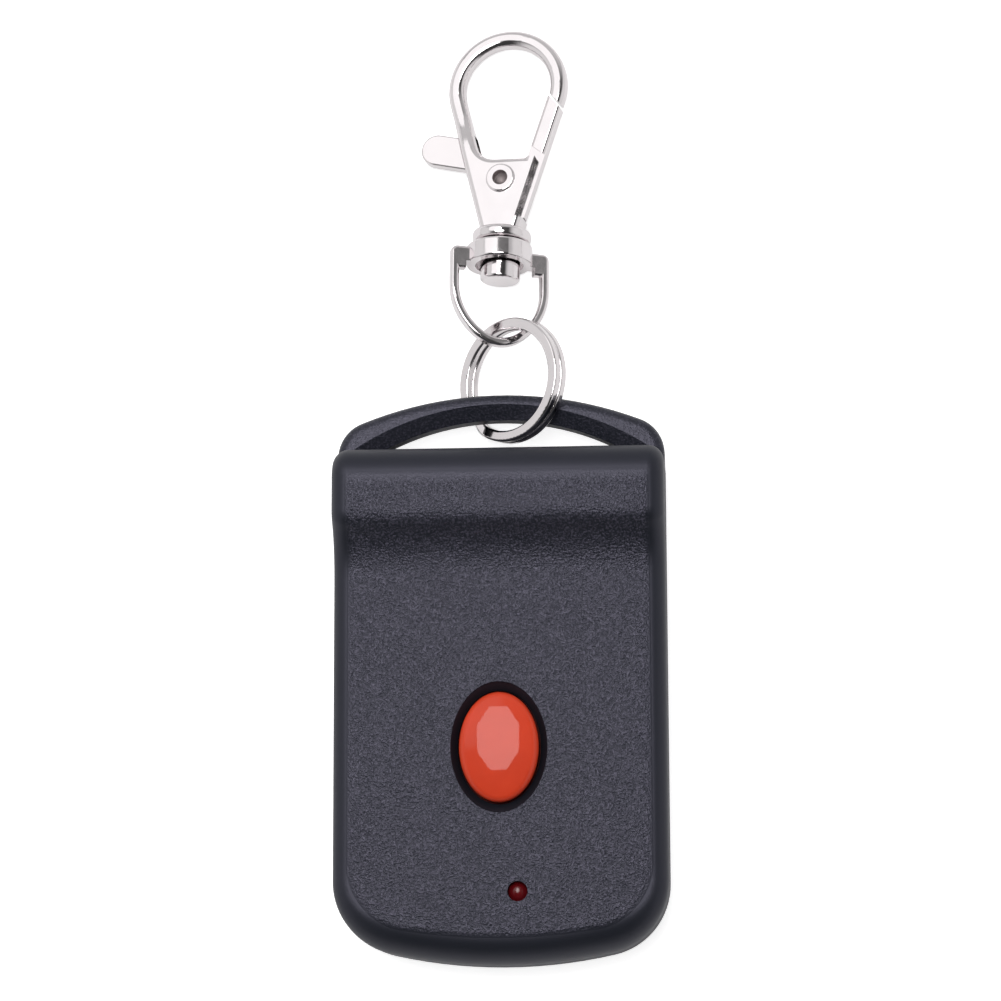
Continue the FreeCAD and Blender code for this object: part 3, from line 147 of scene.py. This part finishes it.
# Plated and plain materials
cloud_range = (0.3, 0.7)
plated_cloud_size = 0.002
plated_cloud_range = (0.3, 0.75)
plated_low = 0.93
plated_smooth = 0.7
plated_rough = 1.6
wear_size = 0.0009
plain_low = 0.85
plain_grain_size = 0.0008
plain_grain_depth = 0.00002
plain_cloud_size = 0.0024

# Blind end inside the tubular rivet, coloured dark as painted shade of the deep bore
rivet_place = (0.000330077, 0.064923085, 0.003454639)
rivet_axis = (-0.170407, 0.084174, 0.981772)
rivet_core_radius = 0.00094
rivet_core_top = 0.0012
rivet_core_dip = 0.00035
rivet_core_depth = 0.0009
rivet_core_chamfer = 0.0001
rivet_core_foot = 0.9
rivet_core_rings = (0.95, 0.8, 0.6, 0.4, 0.2)
rivet_core_steps = 48

white = (1, 1, 1, 1)


# Shader helpers


def new_material(name):
    material = bpy.data.materials.new(name)
    material.use_nodes = True
    material.node_tree.nodes.clear()
    return material


def node(tree, kind, **inputs):
    made = tree.nodes.new(kind)
    for key, value in inputs.items():
        made.inputs[key.replace("_", " ")].default_value = value
    return made


def surface(tree, shader):
    output = tree.nodes.new("ShaderNodeOutputMaterial")
    tree.links.new(shader.outputs[0], output.inputs["Surface"])


def principled(tree, color, roughness, metallic=0.0, specular=0.5, coat=0.0, coat_roughness=0.1):
    shader = tree.nodes.new("ShaderNodeBsdfPrincipled")
    shader.inputs["Base Color"].default_value = (*color, 1)
    shader.inputs["Roughness"].default_value = roughness
    shader.inputs["Metallic"].default_value = metallic
    shader.inputs["Specular IOR Level"].default_value = specular
    shader.inputs["Coat Weight"].default_value = coat
    shader.inputs["Coat Roughness"].default_value = coat_roughness
    return shader


def math_node(tree, operation, first, second=None):
    made = tree.nodes.new("ShaderNodeMath")
    made.operation = operation
    for socket, value in zip(made.inputs, (first, second)):
        if value is None:
            continue
        if isinstance(value, (int, float)):
            socket.default_value = value
        else:
            tree.links.new(value, socket)
    return made.outputs[0]


def object_position(tree):
    return tree.nodes.new("ShaderNodeTexCoord").outputs["Object"]


def noise(tree, position, size, detail=2.0, roughness=0.5):
    made = node(tree, "ShaderNodeTexNoise", Scale=1 / size, Detail=detail, Roughness=roughness)
    tree.links.new(position, made.inputs["Vector"])
    return made.outputs["Fac"]


def map_range(tree, value, low, high, to_low=0.0, to_high=1.0):
    made = node(tree, "ShaderNodeMapRange", From_Min=low, From_Max=high, To_Min=to_low, To_Max=to_high)
    tree.links.new(value, made.inputs["Value"])
    return made.outputs[0]


def mix_color(tree, share, first, second):
    made = tree.nodes.new("ShaderNodeMix")
    made.data_type = "RGBA"
    tree.links.new(share, made.inputs["Factor"])
    made.inputs["A"].default_value = (*first, 1)
    made.inputs["B"].default_value = (*second, 1)
    return made.outputs["Result"]


def bump(tree, height, distance):
    made = node(tree, "ShaderNodeBump", Strength=1.0, Distance=distance)
    tree.links.new(height, made.inputs["Height"])
    return made.outputs["Normal"]


def length_of(tree, first, second):
    squares = math_node(tree, "ADD", math_node(tree, "MULTIPLY", first, first),
                        math_node(tree, "MULTIPLY", second, second))
    return math_node(tree, "SQRT", squares)


# Materials


def grain_mask(tree, position):
    # 1 on the textured field of the front, half on the handle, and 0 on the smooth rolled edges round the
    # field, in the button's dish and on surfaces that don't face up
    parts = tree.nodes.new("ShaderNodeSeparateXYZ")
    tree.links.new(position, parts.inputs[0])
    x = parts.outputs[0]
    y = parts.outputs[1]
    beside = math_node(tree, "SUBTRACT", math_node(tree, "ABSOLUTE", x), grain_half_width - grain_corner)
    sag = math_node(tree, "DIVIDE", math_node(tree, "MULTIPLY", x, x), 2 * grain_bottom_radius)
    below = math_node(tree, "SUBTRACT", math_node(tree, "ADD", sag, grain_bottom_y + grain_corner), y)
    reach = length_of(tree, math_node(tree, "MAXIMUM", beside, 0.0), math_node(tree, "MAXIMUM", below, 0.0))
    field = map_range(tree, reach, grain_corner + grain_edge, grain_corner - grain_edge)
    top = map_range(tree, y, grain_top_y + grain_top_edge, grain_top_y - grain_top_edge)
    dish_x = math_node(tree, "DIVIDE", x, dish_half_width)
    dish_y = math_node(tree, "DIVIDE", math_node(tree, "SUBTRACT", y, dish_centre_y), dish_half_length)
    off_dish = map_range(tree, length_of(tree, dish_x, dish_y), *dish_edge)
    normal_parts = tree.nodes.new("ShaderNodeSeparateXYZ")
    tree.links.new(tree.nodes.new("ShaderNodeTexCoord").outputs["Normal"], normal_parts.inputs[0])
    upward = map_range(tree, normal_parts.outputs[2], *upward_fade)
    handle = map_range(tree, y, handle_grain_y, handle_grain_y + handle_grain_edge, 0.0, handle_grain_share)
    mask = math_node(tree, "MAXIMUM", math_node(tree, "MULTIPLY", field, top), handle)
    mask = math_node(tree, "MULTIPLY", mask, off_dish)
    return math_node(tree, "MULTIPLY", mask, upward)


def black_moulding():
    material = new_material("black_moulding")
    tree = material.node_tree
    position = object_position(tree)
    mask = grain_mask(tree, position)
    grain = noise(tree, position, grain_size, detail=1.5, roughness=0.6)
    shader = principled(tree, moulding_light, grain_roughness, specular=moulding_specular)
    shader.inputs["Specular Tint"].default_value = (*moulding_specular_tint, 1)
    speck = math_node(tree, "MULTIPLY", map_range(tree, grain, *speck_range), mask)
    cloud = noise(tree, position, moulding_cloud_size)
    share = math_node(tree, "ADD", speck, map_range(tree, cloud, *cloud_range, 0.0, moulding_cloud_share))
    tree.links.new(mix_color(tree, share, moulding_dark, moulding_light), shader.inputs["Base Color"])
    roughness = map_range(tree, mask, 0.0, 1.0, smooth_roughness, grain_roughness)
    tree.links.new(roughness, shader.inputs["Roughness"])
    fine = math_node(tree, "MULTIPLY", noise(tree, position, fine_size), fine_height)
    height = math_node(tree, "ADD", math_node(tree, "MULTIPLY", grain, mask), fine)
    tree.links.new(bump(tree, height, grain_depth), shader.inputs["Normal"])
    surface(tree, shader)
    return material


def orange_button():
    material = new_material("orange_button")
    tree = material.node_tree
    position = object_position(tree)
    shader = principled(tree, button_light, button_roughness, specular=button_specular,
                        coat=button_coat, coat_roughness=button_coat_roughness)
    shader.inputs["Subsurface Weight"].default_value = button_subsurface
    shader.inputs["Subsurface Radius"].default_value = button_subsurface_radius
    shader.inputs["Subsurface Scale"].default_value = button_subsurface_scale
    cloud = noise(tree, position, button_cloud_size, detail=3.0)
    parts = tree.nodes.new("ShaderNodeSeparateXYZ")
    tree.links.new(position, parts.inputs[0])
    # low on the side, where the button goes into the case, the colour darkens to painted shade and the coat
    # fades
    clear_of_painted_shade = map_range(tree, parts.outputs[2], button_dull_and_shaded_below, button_clear_and_unshaded_above)
    tone_and_painted_shade = math_node(tree, "MULTIPLY", map_range(tree, cloud, *cloud_range, button_cloud_low, 1.0), clear_of_painted_shade)
    tree.links.new(mix_color(tree, tone_and_painted_shade, button_painted_shade, button_light), shader.inputs["Base Color"])
    tree.links.new(math_node(tree, "MULTIPLY", clear_of_painted_shade, button_coat), shader.inputs["Coat Weight"])
    ripple = noise(tree, position, button_ripple_size, detail=1.0)
    tree.links.new(bump(tree, ripple, button_ripple_depth), shader.inputs["Normal"])
    surface(tree, shader)
    return material


def red_lens():
    material = new_material("red_lens")
    tree = material.node_tree
    shader = principled(tree, lens_light, lens_roughness)
    shader.inputs["Transmission Weight"].default_value = lens_clearness
    cloud = noise(tree, object_position(tree), lens_cloud_size)
    tree.links.new(mix_color(tree, cloud, lens_dark, lens_light), shader.inputs["Base Color"])
    surface(tree, shader)
    return material


def plated(name, color, roughness, wear):
    material = new_material(name)
    tree = material.node_tree
    position = object_position(tree)
    shader = principled(tree, color, roughness, metallic=1.0)
    cloud = noise(tree, position, plated_cloud_size, detail=4.0)
    low = tuple(channel * plated_low for channel in color)
    tree.links.new(mix_color(tree, cloud, low, color), shader.inputs["Base Color"])
    worn = map_range(tree, cloud, *plated_cloud_range, roughness * plated_smooth, roughness * plated_rough)
    tree.links.new(worn, shader.inputs["Roughness"])
    tree.links.new(bump(tree, noise(tree, position, wear_size, detail=3.0), wear), shader.inputs["Normal"])
    surface(tree, shader)
    return material


def plain(name, color, roughness, metallic=0.0):
    material = new_material(name)
    tree = material.node_tree
    position = object_position(tree)
    shader = principled(tree, color, roughness, metallic=metallic)
    cloud = noise(tree, position, plain_cloud_size, detail=3.0)
    low = tuple(channel * plain_low for channel in color)
    tree.links.new(mix_color(tree, cloud, low, color), shader.inputs["Base Color"])
    grain = noise(tree, position, plain_grain_size)
    tree.links.new(bump(tree, grain, plain_grain_depth), shader.inputs["Normal"])
    surface(tree, shader)
    return material


def make_materials():
    return {
        "black_moulding": black_moulding(),
        "orange_button": orange_button(),
        "red_lens": red_lens(),
        "plated_casting": plated("plated_casting", (0.78, 0.74, 0.75), 0.11, 0.00001),
        "plated_wire": plated("plated_wire", (0.78, 0.74, 0.75), 0.08, 0.000006),
        "spring_wire": plated("spring_wire", (0.62, 0.61, 0.60), 0.2, 0.00001),
        "screw_steel": plated("screw_steel", (0.35, 0.35, 0.36), 0.3, 0.00002),
        # the rivet core is much darker than the plating: painted shade of the deep bore
        "rivet_core": plated("rivet_core", (0.30, 0.26, 0.26), 0.5, 0.00003),
        "green_board": plain("green_board", (0.015, 0.16, 0.05), 0.4),
        "copper": plain("copper", (0.75, 0.35, 0.17), 0.3, metallic=1.0),
        "plated_lead": plain("plated_lead", (0.72, 0.72, 0.72), 0.3, metallic=1.0),
        "plated_contact": plain("plated_contact", (0.74, 0.73, 0.71), 0.25, metallic=1.0),
        "battery_sleeve": plain("battery_sleeve", (0.03, 0.03, 0.035), 0.3),
        "dark_moulding": plain("dark_moulding", (0.02, 0.02, 0.022), 0.5),
        "red_moulding": plain("red_moulding", (0.4, 0.02, 0.02), 0.45),
        "white_lever": plain("white_lever", (0.85, 0.85, 0.82), 0.4),
        "can_metal": plain("can_metal", (0.65, 0.65, 0.65), 0.25, metallic=1.0),
        "chip_ceramic": plain("chip_ceramic", (0.3, 0.24, 0.18), 0.4),
    }


def dress_nodes(materials):
    # each CAD node keeps its solid and takes the material of its slot
    slots = {entry["node"]: entry["material_slot"] for entry in frame["record"]["subparts"]}
    for name, slot_name in slots.items():
        solid = frame["nodes"][name]
        solid.data.materials.clear()
        solid.data.materials.append(materials[slot_name])


# Rivet core


def lathe(name, profile, place, axis, steps):
    # turns a closed profile of (radius, height) points, which starts and ends on the axis, round the axis
    verts = []
    faces = []
    rings = []
    for radius, height in profile:
        count = 1 if radius == 0 else steps
        rings.append(range(len(verts), len(verts) + count))
        for step in range(count):
            angle = 2 * math.pi * step / steps
            verts.append((radius * math.cos(angle), radius * math.sin(angle), height))
    for low, high in zip(rings, rings[1:]):
        for step in range(steps):
            after = (step + 1) % steps
            corners = [low[step % len(low)], low[after % len(low)],
                       high[after % len(high)], high[step % len(high)]]
            faces.append(tuple(dict.fromkeys(corners)))
    mesh = bpy.data.meshes.new(name)
    mesh.from_pydata(verts, [], faces)
    turn = Vector(axis).normalized().to_track_quat("Z", "Y").to_matrix().to_4x4()
    mesh.transform(Matrix.Translation(place) @ turn)
    mesh.update()
    mesh.shade_smooth()
    piece = bpy.data.objects.new(name, mesh)
    bpy.context.collection.objects.link(piece)
    return piece


def make_rivet_core(materials):
    # the cupped blind end inside the tubular rivet, whose dark grey is painted shade of the deep bore
    radius = rivet_core_radius
    bottom = rivet_core_top - rivet_core_dip - rivet_core_depth
    profile = [(0, bottom), (radius * rivet_core_foot, bottom),
               (radius, bottom + rivet_core_chamfer), (radius, rivet_core_top)]
    for share in rivet_core_rings:
        profile.append((radius * share, rivet_core_top - rivet_core_dip * (1 - share ** 2)))
    profile.append((0, rivet_core_top - rivet_core_dip))
    core = lathe("rivet_core", profile, rivet_place, rivet_axis, rivet_core_steps)
    core.data.materials.append(materials["rivet_core"])
    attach(core, "hook")


# Studio


def floor_seen(tree):
    # 1 for camera and transmission rays, and a small share for glossy ones
    path = tree.nodes.new("ShaderNodeLightPath")
    glossy = math_node(tree, "MULTIPLY", path.outputs["Is Glossy Ray"], glossy_share)
    seen = math_node(tree, "MAXIMUM", path.outputs["Is Camera Ray"], glossy)
    return math_node(tree, "MAXIMUM", seen, path.outputs["Is Transmission Ray"])


def make_floor():
    bpy.ops.mesh.primitive_plane_add(size=floor_size, location=(0, 0, cad_box[0][2] - floor_gap))
    floor = bpy.context.active_object
    floor.name = "floor"
    material = new_material("pale_floor")
    tree = material.node_tree
    diffuse = node(tree, "ShaderNodeBsdfDiffuse", Color=(*floor_color, 1))
    glow = node(tree, "ShaderNodeEmission", Color=white)
    tree.links.new(math_node(tree, "MULTIPLY", floor_seen(tree), floor_glow), glow.inputs["Strength"])
    both = tree.nodes.new("ShaderNodeAddShader")
    tree.links.new(diffuse.outputs[0], both.inputs[0])
    tree.links.new(glow.outputs[0], both.inputs[1])
    surface(tree, both)
    floor.data.materials.append(material)


def level_of(tree, value, fade, light):
    # rises smoothly from 0 to the light as the value crosses the fade
    made = node(tree, "ShaderNodeMapRange", From_Min=fade[0], From_Max=fade[1])
    made.interpolation_type = "SMOOTHSTEP"
    tree.links.new(value, made.inputs["Value"])
    return math_node(tree, "MULTIPLY", made.outputs[0], light)


def make_world():
    # white to the camera; to all else a bright panel up on the left, a grey wall behind the handle end,
    # lighter sides and horizon, and a dark room between them
    world = bpy.data.worlds.new("studio")
    bpy.context.scene.world = world
    world.use_nodes = True
    tree = world.node_tree
    tree.nodes.clear()
    direction = tree.nodes.new("ShaderNodeTexCoord").outputs["Generated"]
    parts = tree.nodes.new("ShaderNodeSeparateXYZ")
    tree.links.new(direction, parts.inputs[0])
    x, y, z = parts.outputs
    facing = tree.nodes.new("ShaderNodeVectorMath")
    facing.operation = "DOT_PRODUCT"
    tree.links.new(direction, facing.inputs[0])
    facing.inputs[1].default_value = Vector(panel_direction).normalized()
    level = room_light
    for value, fade, light in ((facing.outputs["Value"], panel_fade, panel_light),
                               (y, wall_fade, wall_light),
                               (z, horizon_fade, horizon_light),
                               (math_node(tree, "ABSOLUTE", x), side_fade, side_light)):
        level = math_node(tree, "MAXIMUM", level_of(tree, value, fade, light), level)
    camera_ray = tree.nodes.new("ShaderNodeLightPath").outputs["Is Camera Ray"]
    shown = math_node(tree, "MAXIMUM", level, math_node(tree, "MULTIPLY", camera_ray, background_light))
    background = node(tree, "ShaderNodeBackground", Color=white)
    tree.links.new(shown, background.inputs["Strength"])
    output = tree.nodes.new("ShaderNodeOutputWorld")
    tree.links.new(background.outputs[0], output.inputs["Surface"])


def make_key_light():
    # an octagonal softbox above the object, where the button's dome mirrors it to the camera
    towards = Vector(key_direction).normalized()
    centre = Vector((0, dish_centre_y, button_crown_z)) + towards * key_distance
    across = Vector((1, 0, 0)) - towards * towards.x
    across.normalize()
    along = towards.cross(across)
    points = []
    for corner in range(key_corners):
        angle = math.radians(360 / key_corners * (corner + 0.5))
        points.append(centre + across * (key_half_width * math.cos(angle))
                      + along * (key_half_length * math.sin(angle)))
    mesh = bpy.data.meshes.new("softbox")
    mesh.from_pydata(points, [], [tuple(range(key_corners))])
    softbox = bpy.data.objects.new("softbox", mesh)
    bpy.context.collection.objects.link(softbox)
    softbox.visible_camera = False
    material = new_material("softbox_glow")
    tree = material.node_tree
    surface(tree, node(tree, "ShaderNodeEmission", Color=white, Strength=key_strength))
    mesh.materials.append(material)


def make_camera():
    data = bpy.data.cameras.new("camera")
    data.sensor_fit = "HORIZONTAL"
    data.sensor_width = sensor_width
    data.lens = focal_pixels / image_width * sensor_width
    data.clip_start = camera_near
    camera = bpy.data.objects.new("camera", data)
    bpy.context.collection.objects.link(camera)
    camera.location = camera_place
    camera.rotation_euler = Euler([math.radians(angle) for angle in camera_turn], "XYZ")
    bpy.context.scene.camera = camera


def make_studio():
    make_floor()
    make_world()
    make_key_light()
    make_camera()
    bpy.context.scene.view_settings.view_transform = "Standard"


finishes = make_materials()
dress_nodes(finishes)
make_rivet_core(finishes)
make_studio()
